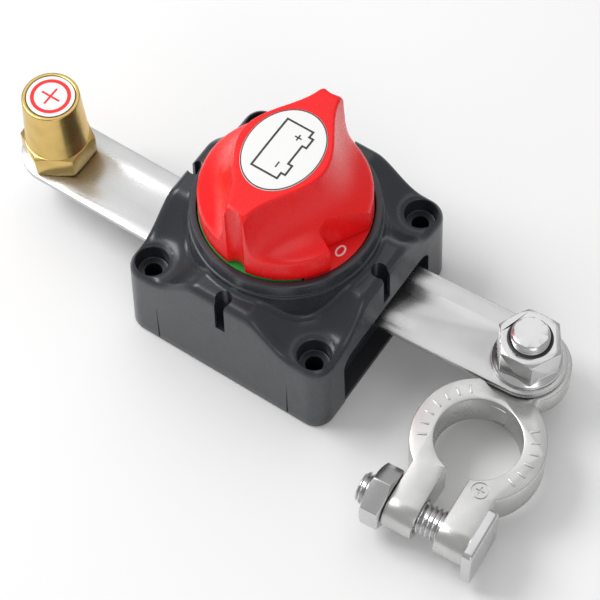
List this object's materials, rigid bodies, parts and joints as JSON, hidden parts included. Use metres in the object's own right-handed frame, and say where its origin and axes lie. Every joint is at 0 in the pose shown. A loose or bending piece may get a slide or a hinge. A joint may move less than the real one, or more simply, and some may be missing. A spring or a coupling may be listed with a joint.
{
  "type": "battery switch",
  "caption": "Rotary battery isolator switch with a grip knob on a square body, plated bars to a battery-post clamp on one side and a tapered post on the other.",
  "frame": {"origin": "centre of the housing's rear face, on the knob's axis", "axes": "+Z out of the front along the knob's axis, +X along the bars towards the clamp, +Y towards the top of the off position's grip"},
  "size_m": [0.186, 0.0905, 0.0761],
  "materials": {
    "case_plastic": "dark blue-grey satin moulding",
    "black_plastic": "matt",
    "red_plastic": "bright red satin moulding",
    "green_print": "printed",
    "red_print": "printed",
    "white_print": "printed label",
    "bright_plate": "bright tin or nickel plate over copper and brass",
    "zinc_steel": "bright zinc plate",
    "contact_copper": "copper",
    "brass": "turned brass",
    "black_rubber": "matt"
  },
  "bodies": {
    "case": {"housing": "case_plastic", "rear_cover": "black_plastic", "dial_off_sector": "red_print", "dial_on_sector": "green_print", "shaft_seal": "black_rubber", "contact_carrier": "black_plastic", "carrier_screw_1": "zinc_steel", "carrier_screw_2": "zinc_steel", "left_stud": "contact_copper", "right_stud": "contact_copper", "left_washer": "zinc_steel", "right_washer": "zinc_steel", "left_spring_washer": "zinc_steel", "right_spring_washer": "zinc_steel", "left_nut": "zinc_steel", "right_nut": "zinc_steel", "left_bar": "bright_plate", "right_bar": "bright_plate", "battery_post": "brass", "post_label": "white_print", "post_bolt": "zinc_steel", "clamp_bolt": "zinc_steel", "clamp_nut": "zinc_steel"},
    "turning_group": {"rotor": "black_plastic", "knob": "red_plastic", "knob_label": "white_print", "knob_screw": "zinc_steel", "contact_spring": "zinc_steel"},
    "bridge": {"moving_contact": "contact_copper"},
    "clamp_group": {"battery_clamp": "bright_plate"},
    "pinch_bolt_group": {"pinch_bolt": "zinc_steel"},
    "pinch_nut_group": {"pinch_nut": "zinc_steel"}
  },
  "joints": [
    {"name": "knob_turn", "type": "hinge", "parent": "case", "child": "turning_group", "pos_m": [0, 0, 0.0477], "axis": [0, 0, -1], "range_deg": [0, 90]},
    {"name": "contact_travel", "type": "slide", "parent": "turning_group", "child": "bridge", "axis": [0, 0, -1], "range_m": [0, 0.00101], "deforming": ["contact_spring"]},
    {"name": "clamp_swivel", "type": "hinge", "parent": "case", "child": "clamp_group", "pos_m": [0.0753, 0.0095, 0.0163], "axis": [0, 0, 1], "range_deg": [0, 170]},
    {"name": "pinch_nut_turn", "type": "hinge", "parent": "clamp_group", "child": "pinch_nut_group", "pos_m": [0.07867, -0.04559, 0.01235], "axis": [-0.9981, -0.061, 0], "range_deg": [0, 724]},
    {"name": "pinch_bolt_draw", "type": "slide", "parent": "clamp_group", "child": "pinch_bolt_group", "axis": [0.9981, 0.061, 0], "range_m": [0, 0.003]}
  ],
  "couplings": [
    {"joint": "contact_travel", "follows": "knob_turn", "m_per_rad": 0.000637},
    {"joint": "pinch_nut_turn", "follows": "pinch_bolt_draw", "rad_per_m": 4188.8}
  ]
}
